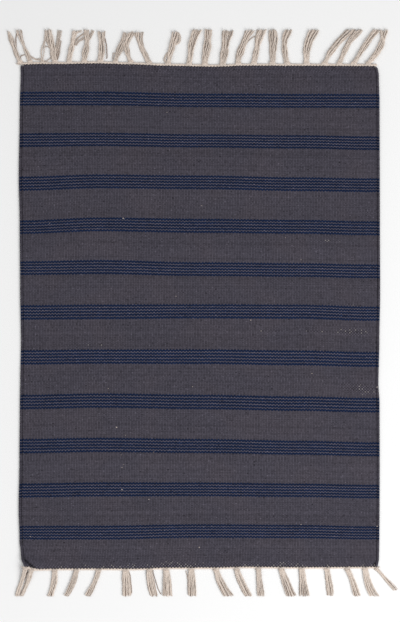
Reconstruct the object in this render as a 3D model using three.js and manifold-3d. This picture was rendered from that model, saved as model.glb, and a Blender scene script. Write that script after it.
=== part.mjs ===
// Kilim rug lying flat: a weft-faced cloth, and at each end a twined edge with knotted tassels.
// Millimetres, +Z up. +X runs across the rug and +Y along it, towards the end with 23 tassels.
// The rug rests on z = 0, and its outer box is centred on the origin.
import * as THREE from 'three';
import { mergeVertices } from 'three/addons/utils/BufferGeometryUtils.js';
import Module from 'manifold-3d';

const wasm = await Module();
wasm.setup();
const { lerp, smoothstep } = THREE.MathUtils;

// Cloth
const CLOTH_WIDTH = 600;
const CLOTH_LENGTH = 837;
const CLOTH_THICKNESS = 3;
const COLUMNS_BETWEEN_SELVEDGES = 10;
const CURL_HEIGHT = 5;
const CURL_REACH = 46;

// Fringe
const EDGE_GAP = 0.3;
const EDGE_WIDTH = 2.2;
const EDGE_HEIGHT = 2.6;
const KNOT = { leastWidth: 4.2, widthPerStrand: 0.75, length: 6.2, height: 4.6, outward: 4.2, endShare: 0.95 };
const KNOT_SIDES = 6;
const STRAND = { width: 2.1, height: 1.9, rootPitch: 1.25, rootRise: 1.3, fill: 0.8 };
const STRAND_STEPS = 4;
const SPREAD_EARLY = 0.7;
const UNEVEN_TIPS = 1.6;
const UNEVEN_TIPS_STEP = 2.4;

const CLOTH_COLOUR = '#44424b';
const YARN_COLOUR = '#c5b9b0';

// How far each long side stands outside a straight side, at places along the cloth.
const SIDES = [
  { along: -418, left: -6.4, right: -2.4 },
  { along: -403, left: -1.6, right: -0.4 },
  { along: -373, left: 1.1, right: 0.1 },
  { along: -321, left: 2.6, right: 0.5 },
  { along: -240, left: 1.3, right: 0.7 },
  { along: -146, left: 0.6, right: 0.4 },
  { along: -111, left: 0, right: -1.4 },
  { along: -41, left: -1.2, right: 0.1 },
  { along: 41, left: 0.1, right: 1.4 },
  { along: 158, left: 0.9, right: 1 },
  { along: 228, left: 2.4, right: 0.8 },
  { along: 358, left: 0.8, right: 0.4 },
  { along: 403, left: -0.7, right: -0.8 },
  { along: 418, left: -0.4, right: -3.2 },
];

// How far each end stands outside a straight end, at places across the cloth.
const ENDS = [
  { across: -294, top: 1.5, bottom: -2.5 },
  { across: -273, top: 2.2, bottom: 1.8 },
  { across: -233, top: 2.3, bottom: 1.2 },
  { across: -173, top: 3.2, bottom: 1 },
  { across: -113, top: 1.7, bottom: 1.3 },
  { across: -53, top: -0.7, bottom: -0.5 },
  { across: 27, top: -2.2, bottom: -0.7 },
  { across: 77, top: -0.5, bottom: -2 },
  { across: 167, top: -0.7, bottom: -1.2 },
  { across: 298, top: -1.2, bottom: -1.8 },
];

// The rolled selvedge: heights of both faces, at distances in from the side.
const SELVEDGE = [
  { inward: 0, top: 1.9, bottom: 1 },
  { inward: 1.2, top: 3, bottom: 0.2 },
  { inward: 3, top: 3.4, bottom: 0 },
  { inward: 5.4, top: 2.6, bottom: 0 },
  { inward: 8, top: CLOTH_THICKNESS, bottom: 0 },
];

// Stations along the cloth, in from each end. The rest are even.
const END_STATIONS = [0, 8, 18, 32, 50];
const EVEN_STATIONS_ALONG = 14;

// Tassels at the top end: where each is tied, how far its tips lean, and how wide they spread.
// "bow" pushes its middle sideways, and "length" is measured from the cloth.
const TOP_TASSELS = [
  { across: -300, lean: -20, bow: 0, spread: 9, length: 57, strands: 5 },
  { across: -283, lean: -19, bow: -1, spread: 9, length: 60, strands: 5 },
  { across: -263, lean: 6, bow: -1, spread: 3, length: 60, strands: 2 },
  { across: -242, lean: 0, bow: -3, spread: 19, length: 60, strands: 6 },
  { across: -218, lean: 11, bow: -2, spread: 15, length: 58, strands: 5 },
  { across: -193, lean: 4, bow: 1, spread: 13, length: 60, strands: 5 },
  { across: -167, lean: 2, bow: 0, spread: 12, length: 57, strands: 5 },
  { across: -141, lean: 14, bow: 0, spread: 9, length: 55, strands: 4 },
  { across: -115, lean: 2, bow: -8, spread: 9, length: 55, strands: 4 },
  { across: -85, lean: -16, bow: -3, spread: 9, length: 56, strands: 5 },
  { across: -53, lean: 11, bow: 1, spread: 10, length: 57, strands: 5 },
  { across: -18, lean: 13, bow: -2, spread: 11, length: 60, strands: 5 },
  { across: 10, lean: 5, bow: 0, spread: 14, length: 60, strands: 5 },
  { across: 38, lean: 10, bow: -1, spread: 14, length: 59, strands: 5 },
  { across: 64, lean: 21, bow: -4, spread: 13, length: 59, strands: 5 },
  { across: 93, lean: 12, bow: 1, spread: 12, length: 60, strands: 5 },
  { across: 121, lean: 0, bow: 2, spread: 13, length: 60, strands: 5 },
  { across: 147, lean: 2, bow: -3, spread: 12, length: 60, strands: 5 },
  { across: 178, lean: 13, bow: -4, spread: 16, length: 60, strands: 5 },
  { across: 207, lean: 45, bow: -5, spread: 12, length: 60, strands: 5 },
  { across: 233, lean: 33, bow: -4, spread: 9, length: 60, strands: 5 },
  { across: 257, lean: 38, bow: -2, spread: 9, length: 60, strands: 5 },
  { across: 281, lean: 27, bow: 6, spread: 11, length: 60, strands: 5 },
];

// Tassels at the bottom end.
const BOTTOM_TASSELS = [
  { across: -286, lean: -15, bow: 1, spread: 16, length: 48, strands: 6 },
  { across: -242, lean: -8, bow: 2, spread: 11, length: 48, strands: 6 },
  { across: -206, lean: -17, bow: 2, spread: 10, length: 48, strands: 6 },
  { across: -169, lean: -18, bow: 2, spread: 10, length: 48, strands: 6 },
  { across: -124, lean: 2, bow: 0, spread: 15, length: 48, strands: 6 },
  { across: -84, lean: 8, bow: -2, spread: 13, length: 48, strands: 6 },
  { across: -56, lean: 2, bow: 0, spread: 18, length: 48, strands: 6 },
  { across: -14, lean: 1, bow: 0, spread: 15, length: 48, strands: 6 },
  { across: 26, lean: 21, bow: -2, spread: 14, length: 48, strands: 6 },
  { across: 62, lean: 19, bow: -2, spread: 12, length: 48, strands: 6 },
  { across: 98, lean: 4, bow: 0, spread: 11, length: 48, strands: 6 },
  { across: 136, lean: 17, bow: -1, spread: 16, length: 48, strands: 6 },
  { across: 171, lean: 5, bow: 0, spread: 14, length: 48, strands: 6 },
  { across: 214, lean: 5, bow: 1, spread: 9, length: 48, strands: 6 },
  { across: 246, lean: 17, bow: 1, spread: 11, length: 48, strands: 6 },
  { across: 278, lean: 14, bow: -3, spread: 14, length: 48, strands: 6 },
  { across: 295, lean: 30, bow: -3, spread: 6, length: 38, strands: 3 },
];

// The value of one column of a table at a place between its rows, eased from row to row.
function readTable(rows, key, column, place) {
  const upper = rows.findIndex((row) => row[key] >= place);
  if (upper <= 0) {
    return upper === 0 ? rows[0][column] : rows.at(-1)[column];
  }
  const below = rows[upper - 1];
  const above = rows[upper];
  const share = smoothstep(place, below[key], above[key]);
  return lerp(below[column], above[column], share);
}

const leftSide = (along) => -CLOTH_WIDTH / 2 - readTable(SIDES, 'along', 'left', along);
const rightSide = (along) => CLOTH_WIDTH / 2 + readTable(SIDES, 'along', 'right', along);
const endLine = { 1: 'top', '-1': 'bottom' };

// The y of the cloth's end at a place across it: end is 1 at the top and -1 at the bottom.
function endOfCloth(across, end) {
  return end * (CLOTH_LENGTH / 2 + readTable(ENDS, 'across', endLine[end], across));
}

// A point of the cloth in plan, from its distances along a straight-sided cloth.
function clothPoint(across, along) {
  const share = across / CLOTH_WIDTH + 0.5;
  const shareAlong = along / CLOTH_LENGTH + 0.5;
  const x = lerp(leftSide(along), rightSide(along), share);
  const y = lerp(endOfCloth(across, -1), endOfCloth(across, 1), shareAlong);
  return new THREE.Vector2(x, y);
}

// The bottom left corner curls up off the floor.
const curlCorner = clothPoint(-CLOTH_WIDTH / 2, -CLOTH_LENGTH / 2);

function curlAt(x, y) {
  const away = Math.hypot(x - curlCorner.x, y - curlCorner.y);
  const share = Math.max(0, 1 - away / CURL_REACH);
  return CURL_HEIGHT * share * share;
}

function selvedgeHeight(inward, face) {
  return readTable(SELVEDGE, 'inward', face, inward);
}

function mirroredStations(near, length, evenCount) {
  const reach = near.at(-1);
  const even = [];
  for (let i = 1; i < evenCount; i += 1) {
    even.push(lerp(reach, length - reach, i / evenCount));
  }
  const far = near.map((distance) => length - distance).reverse();
  return [...near, ...even, ...far].map((distance) => distance - length / 2);
}

const acrossStations = mirroredStations(
  SELVEDGE.map((row) => row.inward), CLOTH_WIDTH, COLUMNS_BETWEEN_SELVEDGES);
const alongStations = mirroredStations(END_STATIONS, CLOTH_LENGTH, EVEN_STATIONS_ALONG);

// A closed body without normals or texture places, its shared points merged.
function closedBody(geometry) {
  geometry.deleteAttribute('normal');
  geometry.deleteAttribute('uv');
  return mergeVertices(geometry, 1e-4);
}

function movePoints(geometry, place) {
  const points = geometry.attributes.position;
  const point = new THREE.Vector3();
  for (let i = 0; i < points.count; i += 1) {
    point.fromBufferAttribute(points, i);
    points.setXYZ(i, ...place(point).toArray());
  }
  return geometry;
}

// A unit box cut at a list of stations, with each station's number as its x or y.
function stationBox(columns, rows) {
  const box = new THREE.BoxGeometry(columns - 1, rows - 1, 1, columns - 1, rows - 1, 1);
  return box.translate((columns - 1) / 2, (rows - 1) / 2, 0);
}

function clothBody() {
  const box = stationBox(acrossStations.length, alongStations.length);
  return closedBody(movePoints(box, (point) => {
    const across = acrossStations[Math.round(point.x)];
    const along = alongStations[Math.round(point.y)];
    const plan = clothPoint(across, along);
    const inward = CLOTH_WIDTH / 2 - Math.abs(across);
    const height = selvedgeHeight(inward, point.z > 0 ? 'top' : 'bottom');
    return new THREE.Vector3(plan.x, plan.y, height + curlAt(plan.x, plan.y));
  }));
}

// The twined edge: a narrow strip that follows the cloth's end, a hair outside it.
function edgeBody(end) {
  const box = stationBox(acrossStations.length, 2);
  return closedBody(movePoints(box, (point) => {
    const across = acrossStations[Math.round(point.x)];
    const plan = clothPoint(across, end * CLOTH_LENGTH / 2);
    const outward = EDGE_GAP + EDGE_WIDTH * (end > 0 ? point.y : 1 - point.y);
    const height = point.z > 0 ? EDGE_HEIGHT : 0;
    return new THREE.Vector3(plan.x, plan.y + end * outward, height + curlAt(plan.x, plan.y));
  }));
}

function alongCurve(start, middle, end, share) {
  return lerp(lerp(start, middle, share), lerp(middle, end, share), share);
}

// How far apart a tassel's strands lie, at a share of the way from its knot to its tips.
function strandPitch(tassel, share) {
  const tipPitch = tassel.spread / (tassel.strands - 1);
  const middlePitch = lerp(STRAND.rootPitch, tipPitch, SPREAD_EARLY);
  return alongCurve(STRAND.rootPitch, middlePitch, tipPitch, share);
}

// A strand is a three-sided prism bent along its tassel's curve, one flat side down on the floor.
// Its root is thinner, and starts inside its knot a little above the floor.
function strandBody(tassel, end, place, lengthChange) {
  const root = endOfCloth(tassel.across, end) + end * KNOT.outward;
  const tip = end * (CLOTH_LENGTH / 2 + tassel.length + lengthChange);
  const middle = tassel.across + tassel.lean / 2 + 2 * tassel.bow;
  const prism = new THREE.CylinderGeometry(1, 1, 1, 3, STRAND_STEPS);
  const slant = Math.abs(tip - root) / Math.hypot(tip - root, tassel.lean);
  return closedBody(movePoints(prism, (point) => {
    const share = point.y + 0.5;
    const pitch = strandPitch(tassel, share);
    const centre = alongCurve(tassel.across, middle, tassel.across + tassel.lean, share);
    const width = Math.min(STRAND.width, STRAND.fill * pitch * slant) / slant;
    const x = centre + pitch * place + (end * point.x * width) / Math.sqrt(3);
    const y = lerp(root, tip, share);
    const rise = STRAND.rootRise * Math.max(0, 1 - share * STRAND_STEPS);
    const height = ((point.z + 0.5) / 1.5) * STRAND.height + rise;
    return new THREE.Vector3(x, y, height + curlAt(x, y));
  }));
}

// A knot is a short barrel, fuller round its middle, with flat ends for the strands to leave by.
function knotBody(tassel, end) {
  const y = endOfCloth(tassel.across, end) + end * KNOT.outward;
  const width = KNOT.leastWidth + KNOT.widthPerStrand * tassel.strands;
  const barrel = new THREE.CylinderGeometry(1, 1, 1, KNOT_SIDES, 2, false, Math.PI / KNOT_SIDES);
  return closedBody(movePoints(barrel, (point) => {
    const fullness = Math.abs(point.y) > 0.25 ? KNOT.endShare : 1;
    const x = tassel.across + (point.x * fullness * width) / 2;
    const z = ((1 + point.z * fullness) * KNOT.height) / 2;
    return new THREE.Vector3(x, y + point.y * KNOT.length, z + curlAt(tassel.across, y));
  }));
}

function tasselBodies(tassel, end) {
  const bodies = [knotBody(tassel, end)];
  for (let i = 0; i < tassel.strands; i += 1) {
    const place = i - (tassel.strands - 1) / 2;
    const lengthChange = UNEVEN_TIPS * Math.sin(tassel.across + UNEVEN_TIPS_STEP * i);
    bodies.push(strandBody(tassel, end, place, lengthChange));
  }
  return bodies;
}

function toManifold(geometry) {
  const mesh = new wasm.Mesh({
    numProp: 3,
    vertProperties: new Float32Array(geometry.attributes.position.array),
    triVerts: new Uint32Array(geometry.index.array),
  });
  return new wasm.Manifold(mesh);
}

function fused(bodies) {
  const whole = bodies.map(toManifold).reduce((joined, body) => joined.add(body));
  const { vertProperties, triVerts } = whole.getMesh();
  const geometry = new THREE.BufferGeometry();
  geometry.setAttribute('position', new THREE.BufferAttribute(vertProperties, 3));
  geometry.setIndex(new THREE.BufferAttribute(triVerts, 1));
  return geometry;
}

function fringeBody(tassels, end) {
  return fused([edgeBody(end), ...tassels.flatMap((tassel) => tasselBodies(tassel, end))]);
}

const clothCotton = new THREE.MeshStandardMaterial({ color: CLOTH_COLOUR, roughness: 0.95, metalness: 0 });
const plainCotton = new THREE.MeshStandardMaterial({ color: YARN_COLOUR, roughness: 0.9, metalness: 0 });

const rug = new THREE.Group();

function addPiece(name, geometry, material) {
  const piece = new THREE.Mesh(geometry, material);
  piece.name = name;
  rug.add(piece);
}

addPiece('rug_cloth', clothBody(), clothCotton);
addPiece('fringe_top', fringeBody(TOP_TASSELS, 1), plainCotton);
addPiece('fringe_bottom', fringeBody(BOTTOM_TASSELS, -1), plainCotton);

// Centre the outer box on the origin.
const middle = new THREE.Box3().setFromObject(rug).getCenter(new THREE.Vector3());
rug.position.set(-middle.x, -middle.y, 0);

export default rug;
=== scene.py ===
"""Kilim rug lying flat: woven cloth, rolled selvedges, twined ends, knotted tassels and cotton neps.

Shapes are worked out in millimetres from the cloth's middle, with +Y towards the end with 23
tassels, and go into Blender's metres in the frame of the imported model.
"""

from collections import namedtuple

import bmesh
import bpy
import numpy as np
from bpy.props import FloatProperty, FloatVectorProperty, IntProperty, PointerProperty
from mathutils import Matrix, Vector


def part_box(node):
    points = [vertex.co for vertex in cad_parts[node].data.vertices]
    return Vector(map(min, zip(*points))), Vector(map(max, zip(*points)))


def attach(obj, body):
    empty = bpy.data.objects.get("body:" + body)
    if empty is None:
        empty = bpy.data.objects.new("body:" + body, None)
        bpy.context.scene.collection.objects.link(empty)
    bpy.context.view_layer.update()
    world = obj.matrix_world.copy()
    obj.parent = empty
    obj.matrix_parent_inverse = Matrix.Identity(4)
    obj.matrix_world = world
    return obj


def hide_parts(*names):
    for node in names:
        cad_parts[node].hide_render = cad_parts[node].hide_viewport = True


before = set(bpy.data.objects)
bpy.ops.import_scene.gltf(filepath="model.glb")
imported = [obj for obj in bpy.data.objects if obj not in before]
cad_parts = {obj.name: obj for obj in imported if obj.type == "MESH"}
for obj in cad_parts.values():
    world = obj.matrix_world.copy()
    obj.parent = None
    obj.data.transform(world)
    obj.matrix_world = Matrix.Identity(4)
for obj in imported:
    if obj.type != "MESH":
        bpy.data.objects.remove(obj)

bl_info = {
    "name": "Kilim Rug",
    "version": (1, 0, 0),
    "blender": (4, 5, 0),
    "location": "3D View > Sidebar > Rug",
    "description": "Weaves a small striped kilim rug with twined ends and knotted tassels",
    "category": "Add Mesh",
}

MM = 0.001
FULL_TURN = 2 * np.pi
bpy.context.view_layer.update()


def table(columns, *rows):
    """Rows whose columns have names."""
    row_kind = namedtuple("Row", columns)
    return [row_kind(*row) for row in rows]


# The cloth's outermost points from its own middle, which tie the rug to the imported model.
OUTERMOST_LEFT = 302.6
OUTERMOST_TOP = 421.7
CLOTH_WIDTH = 600
CLOTH_LENGTH = 837

# The weave, counted from the bottom end. Each warp shows every other pick.
WARPS = 225
SELVEDGE_WARPS = 2
PICKS = 1022
BOTTOM_MARGIN_PICKS = 59
BAND_PICKS = 28
REPEAT_PICKS = 88
LINE_PICKS = 4
LINE_REPEAT_PICKS = 6
BUNCH_PICKS = 5.5

# How far up the floats on odd warps shift, in picks, and what share of floats stand out.
ODD_WARP_SHIFT = 1.25
PALE_FLOATS = 0.006
DARK_FLOATS = 0.01

# How far in the cloth's ends and sides are rounded, and how dark the shade painted by its selvedges is.
END_ROUNDING = 1.3
SIDE_ROUNDING = 1.2
LEFT_SEAM_SHADE = 0.12
RIGHT_SEAM_SHADE = 0.28

# The tubes of the selvedges, which reach a little over the cloth.
SELVEDGE_SIDES = 10
SELVEDGE_OVERLAP = 1.06

# How many warps lie left of places across the rug: they crowd towards the sides.
CROWDING = table(
    "across warps",
    (-300, 0),
    (-230, 27),
    (-97, 75),
    (37, 124.5),
    (171, 174),
    (237, 199),
    (300, 225),
)

# How far each long side stands outside a straight side, at places along the cloth.
SIDES = table(
    "along left right",
    (-418, -6.4, -2.4),
    (-403, -1.6, -0.4),
    (-373, 1.1, 0.1),
    (-321, 2.6, 0.5),
    (-240, 1.3, 0.7),
    (-146, 0.6, 0.4),
    (-111, 0, -1.4),
    (-41, -1.2, 0.1),
    (41, 0.1, 1.4),
    (158, 0.9, 1),
    (228, 2.4, 0.8),
    (358, 0.8, 0.4),
    (403, -0.7, -0.8),
    (418, -0.4, -3.2),
)
SIDE_NAME = {1: "right", -1: "left"}

# How far each end stands outside a straight end, at places across the cloth.
ENDS = table(
    "across top bottom",
    (-294, 1.5, -2.5),
    (-273, 2.2, 1.8),
    (-233, 2.3, 1.2),
    (-173, 3.2, 1),
    (-113, 1.7, 1.3),
    (-53, -0.7, -0.5),
    (27, -2.2, -0.7),
    (77, -0.5, -2),
    (167, -0.7, -1.2),
    (298, -1.2, -1.8),
)
END_NAME = {1: "top", -1: "bottom"}

# How far up the rug the middle of each stripe band lies, at places across, from the bottom up.
BAND_PLACES = (-292, -167, 0, 167, 280)
BANDS = table(
    "left inner_left middle inner_right right",
    (-361, -361, -358, -359, -361.5),
    (-291, -289, -289, -290.5, -292.5),
    (-216.5, -214.5, -216.5, -219.5, -222),
    (-143, -140.5, -143, -146, -148.5),
    (-68.5, -67.5, -67.5, -69.5, -72),
    (6.5, 7.5, 9, 8.5, 5),
    (81, 82.5, 78.5, 77, 75),
    (148.5, 153.5, 151, 149.5, 147),
    (221.5, 225.5, 224, 220.5, 219),
    (294.5, 295.5, 293, 291.5, 289),
    (363, 363, 360, 359, 359),
)

# Distances in picks from each end of the mesh's rows, close together where the cloth bends.
TOP_ROWS = (0, 1.2, 2.7, 5, 8, 12, 16, 21, 27, 34, 44)
BOTTOM_ROWS = (0, 1, 2, 3.2, 4.5, 6, 7.5, 9, 10.5, 12, 13.5, 15, 16.5, 18, 20, 22.5, 26, 31, 37, 44)
ROW_PICKS = 26

# Where the weave is beaten loosely: the patch's middle in warps from the left and in picks from the
# bottom end, its half sizes, and how loose it is.
LOOSE_PATCHES = table(
    "warp half_warps pick half_picks looseness",
    (112, 900, 0, 13, 0.55),
    (112, 900, 1022, 14, 0.25),
    (24, 5, 0, 12, 0.4),
    (67, 15, 0, 14, 0.4),
    (96, 19, 0, 16, 0.7),
    (140, 6, 0, 12, 0.4),
    (165, 13, 0, 16, 0.6),
    (218, 7, 0, 14, 0.4),
    (185, 35, 662, 4, 0.7),
    (154, 20, 477, 6, 0.4),
    (183, 10, 477, 5, 0.7),
    (207, 15, 477, 10, 0.9),
    (205, 9, 530, 3, 0.7),
    (44, 30, 449, 4, 0.45),
    (207, 12, 372, 12, 0.6),
    (217, 9, 366, 13, 0.8),
)

# Small hollows at the corners, dented and painted with shade: where each lies, and how wide it is.
CORNER_HOLLOWS = table(
    "across up radius",
    (291.5, -413.5, 3.2),
    (293, 415, 3),
    (-296, 407, 2.2),
)
HOLLOW_DEPTH = 0.8

# Tassels: where each is tied, how far its tips lean, how far its middle is pushed sideways, how
# wide the tips spread, its length from the cloth, and how many yarns it has.
TASSEL_COLUMNS = "across lean bow spread length yarns"
TOP_TASSELS = table(
    TASSEL_COLUMNS,
    (-300, -20, 0, 7, 57, 6),
    (-283, -19, -1, 8, 60, 6),
    (-263, 6, -1, 3, 60, 2),
    (-242, -8, -1, 9, 60, 8),
    (-218, 11, -2, 10, 58, 8),
    (-193, 4, 1, 11, 60, 8),
    (-166, 2, 1, 14, 57, 10),
    (-141, 16, 0, 9, 55, 7),
    (-115, 2, -8, 10, 55, 7),
    (-85, -17, -3, 12, 56, 9),
    (-53, 11, 1, 11, 57, 8),
    (-18, 13, -2, 15, 60, 9),
    (8, 7, 0, 15, 60, 10),
    (38, 10, -1, 18, 59, 11),
    (64, 21, -4, 15, 59, 9),
    (90, 14, -1, 15, 60, 10),
    (121, 0, 2, 15, 60, 10),
    (146, 3, -6, 13, 60, 9),
    (178, 13, -4, 16, 60, 11),
    (208, 44, -4, 13, 60, 9),
    (233, 33, -4, 12, 60, 9),
    (257, 38, -2, 12, 60, 9),
    (281, 27, 6, 13, 60, 9),
)
BOTTOM_TASSELS = table(
    TASSEL_COLUMNS,
    (-291, -14, 0, 7, 48, 9),
    (-281, -17, 1, 7, 48, 9),
    (-242, -8, 2, 11, 48, 12),
    (-206, -17, 2, 10, 48, 11),
    (-169, -18, 2, 10, 48, 11),
    (-124, 2, 0, 16, 48, 15),
    (-84, 8, -2, 15, 48, 15),
    (-56, 2, 0, 18, 48, 17),
    (-14, 1, 0, 15, 48, 15),
    (27, 21, -2, 17, 48, 16),
    (62, 19, -2, 14, 48, 14),
    (98, 4, 0, 11, 48, 12),
    (136, 17, -1, 18, 48, 17),
    (170, 5, 0, 17, 48, 15),
    (212, 5, 1, 12, 48, 12),
    (246, 17, 1, 12, 48, 12),
    (276, 16, -3, 16, 48, 15),
    (295, 32, 0, 8, 38, 6),
)
TASSELS = {1: TOP_TASSELS, -1: BOTTOM_TASSELS}
TASSELS_PER_PIECE = 12
FRINGE_SEED = 3

# How tassels lie: the share of a yarn's rings up to its knot, how much of the spread comes early,
# how unevenly the tips lie, and how far they part over a bare yarn.
KNOT_SHARE = 0.12
EARLY_SPREAD = 0.7
TIP_SCATTER = 0.7
PARTING_WIDTH = 1.3

# Where a tassel's yarns start, out from the cloth's end and above the floor.
ROOT_OUT = 1.5
ROOT_LIFT = 1.4

# Knots: how often the yarn goes round, how far along the tassel, and how its plies turn.
KNOT_TURNS = 2.2
KNOT_LENGTH = 4.2
KNOT_PLY_TURN = 7

# Plied yarn: its plies, how far out the grooves between them lie, and how rough its sheen is.
PLIES = 3
GROOVE_REACH = 0.66
SHEEN_ROUGHNESS = 0.6

# The twined edges: how far in from the sides they end, their gap to the cloth, and their yarns.
EDGE_INSET = 1
EDGE_GAP = 0.2
EDGE_PLY_TURN = 4
EDGE_TONES = (1.3, 1)

# Yarns that leave their tassel: how many, how much shade is painted on them, and three places that they
# pass, across the rug and out from the cloth's end.
STRAY_COLUMNS = "yarns dark x1 out1 x2 out2 x3 out3"
TOP_STRAYS = table(
    STRAY_COLUMNS,
    (1, 0.6, -300, 12, -297, 17, -292, 18),
    (1, 0.3, -299, 8, -293, 5, -286, 4),
    (1, 0.8, -304, 19, -307, 37, -305, 56),
    (2, 0.2, -285, 19, -277, 12, -266, 11),
    (1, 0.5, -260, 8, -252, 10, -249, 16),
    (1, 0.5, -261, 29, -256, 32, -251, 30),
    (3, 0, -248, 26, -254, 42, -257, 59),
    (4, 0, -243, 20, -237, 37, -234, 59),
    (4, 0.5, -239, 10, -236, 26, -235, 42),
    (2, 0, -214, 34, -211, 50, -197, 58),
    (2, 0.2, -211, 30, -204, 45, -190, 55),
    (2, 0.3, -207, 34, -200, 42, -189, 48),
    (1, 0.7, -205, 42, -199, 50, -191, 53),
    (3, 0.1, -191, 36, -184, 47, -178, 59),
    (1, 0.8, -156, 12, -155, 27, -160, 52),
    (1, 0.1, -146, 11, -143, 21, -136, 14),
    (4, 0, -138, 14, -124, 38, -110, 56),
    (1, 0.6, -119, 14, -117, 22, -120, 32),
    (1, 0.4, -100, 34, -98, 46, -94, 56),
    (2, 0, -53, 4, -59, 11, -53, 22),
    (3, 0, -45, 35, -34, 42, -37, 54),
    (1, 0.5, -36, 52, -41, 54, -43, 42),
    (1, 0.4, 66, 18, 77, 36, 92, 50),
    (1, 0.6, 213, 12, 232, 38, 252, 58),
    (2, 0.2, 271, 22, 286, 42, 296, 59),
)
BOTTOM_STRAYS = table(
    STRAY_COLUMNS,
    (1, 0.8, -287, 8, -294, 22, -300, 42),
    (1, 0.7, -119, 6, -115, 22, -114, 44),
    (1, 0.9, -78, 5, -73, 26, -65, 45),
    (1, 0.5, -23, 6, -20, 25, -20, 46),
    (1, 0.7, 148, 22, 152, 35, 156, 47),
    (1, 0.6, 251, 14, 257, 30, 267, 46),
    (1, 0.8, 300, 8, 311, 22, 324, 35),
)
STRAYS = {1: TOP_STRAYS, -1: BOTTOM_STRAYS}

# Flecks of pale cotton caught in the weave: where each lies, its length, and how pale it is.
NEPS = table(
    "across up length paleness",
    (3, 185, 2, 0.5),
    (-128, 164, 2.2, 1),
    (143, 132, 1.8, 0.5),
    (169, 95, 1.8, 0.5),
    (-40, 34, 2, 0.6),
    (85, -6, 2.2, 0.8),
    (-55, 341, 1.8, 0.5),
    (187, -95, 2, 0.6),
    (-139, -185, 2.6, 0.9),
    (-124, -198, 1.8, 0.5),
    (-131, -231, 1.6, 0.4),
    (-127, -247, 1.6, 0.5),
    (-130, -252, 1.8, 0.5),
    (-130, -289, 2.2, 0.9),
    (-77, -226, 1.6, 0.4),
    (-12, -117, 2, 0.6),
    (-153, -120, 1.8, 0.5),
    (-85, -305, 2, 0.7),
    (-1, -385, 2.2, 0.9),
    (169, -347, 2, 0.6),
    (296, -118, 2.2, 0.9),
    (296, -350, 2.4, 1),
    (-283, -367, 2, 0.7),
    (-251, 155, 1.8, 0.5),
    (-126, 163, 1.4, 0.6),
)
NEP_HALF_HEIGHT = 0.45
NEP_SEED = 9

# The fold across the bottom left corner: its line from the side to the end, its middle and reach,
# the width of the shade painted along it, the valley along it, and the ridge that runs before it.
CREASE_START = (-292.8, -405.6)
CREASE_END = (-276, -419.6)
CREASE_MIDDLE = (-285, -413)
CREASE_REACH = (14, 12)
CREASE_SHADE_WIDTH = 1.9
VALLEY_DEPTH = 1.6
VALLEY_WIDTH = 1.8
RIDGE_HEIGHT = 1.8
RIDGE_WIDTH = 3
RIDGE_BEFORE = 4

# The floor, in metres, and the lamps: where each stands, the side of its square, and its watts.
FLOOR_RADIUS = 30
FLOOR_SIDES = 96
LAMPS = table(
    "name place side power",
    ("key_light", (1.9, -1.5, 2.2), 2.2, 76),
    ("fill_light", (-2.6, 1.6, 3.4), 3, 26),
)
SKY_STRENGTH = 0.5

# The camera looks straight down on a view this tall, in mm, about a point by the cloth's middle.
# Its own height and how far it sees are in metres.
VIEW_HEIGHT = 1038.7
VIEW_MIDDLE = (0.3, 9.2)
CAMERA_HEIGHT = 5
CAMERA_REACH = 100
SENSOR = 36


def paint(red, green, blue):
    """A colour given as screen values from 0 to 255, in the linear values that Blender uses."""
    shares = [channel / 255 for channel in (red, green, blue)]
    return tuple(s / 12.92 if s <= 0.04045 else ((s + 0.055) / 1.055) ** 2.4 for s in shares)


def bell(distance, width):
    """1 at no distance, falling smoothly to nothing over about twice the width."""
    return np.exp(-((distance / width) ** 2))


def named(rows, name):
    """A table's column."""
    return np.array([getattr(row, name) for row in rows], float)


def between(places, place):
    """Which of the places comes next, and what share of the way to it is behind."""
    upper = np.clip(np.searchsorted(places, place), 1, len(places) - 1)
    return upper, (place - places[upper - 1]) / (places[upper] - places[upper - 1])


def eased(places, values, place):
    """The value at a place between the given ones, eased from one to the next."""
    places = np.array(places, float)
    values = np.array(values, float)
    upper, share = between(places, np.clip(place, places[0], places[-1]))
    share = share * share * (3 - 2 * share)
    return values[upper - 1] + (values[upper] - values[upper - 1]) * share


def side_of_cloth(along, side):
    """The side's line along the rug: side is 1 on the right and -1 on the left."""
    out = eased(named(SIDES, "along"), named(SIDES, SIDE_NAME[side]), along)
    return side * (CLOTH_WIDTH / 2 + out)


def end_of_cloth(across, end):
    """The end's line across the rug: end is 1 at the top and -1 at the bottom."""
    out = eased(named(ENDS, "across"), named(ENDS, END_NAME[end]), across)
    return end * (CLOTH_LENGTH / 2 + out)


def pick_line(across, pick):
    """How far up the rug a pick lies at a place across: picks follow the bowed bands and ends."""
    first = BOTTOM_MARGIN_PICKS + BAND_PICKS / 2
    marks = np.array([0, *(first + REPEAT_PICKS * i for i in range(len(BANDS))), PICKS], float)
    bands = [eased(BAND_PLACES, band, across) for band in BANDS]
    lines = np.array([end_of_cloth(across, -1), *bands, end_of_cloth(across, 1)])
    upper, share = between(marks, pick)
    each = np.arange(len(across))
    return lines[upper - 1, each] * (1 - share) + lines[upper, each] * share


def from_end_of_cloth(pick):
    """How far a pick lies from the nearer end, in mm."""
    return np.minimum(pick, PICKS - pick) * CLOTH_LENGTH / PICKS


def cloth_lift(x, y, size):
    """What raises both faces of the cloth alike: the curled corner and slow ripples."""
    ripple = np.sin(x / 61 + 1.3 * np.sin(y / 118)) * np.sin(y / 83 + 0.8 * np.sin(x / 95))
    low = -CLOTH_LENGTH / 2
    away = np.hypot(x - side_of_cloth(low, -1), y - low)
    curl = size.curl / MM * np.clip(1 - away / (size.curl_reach / MM), 0, 1) ** 2
    return curl + size.ripple / MM * (1 + ripple) / 2


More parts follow.
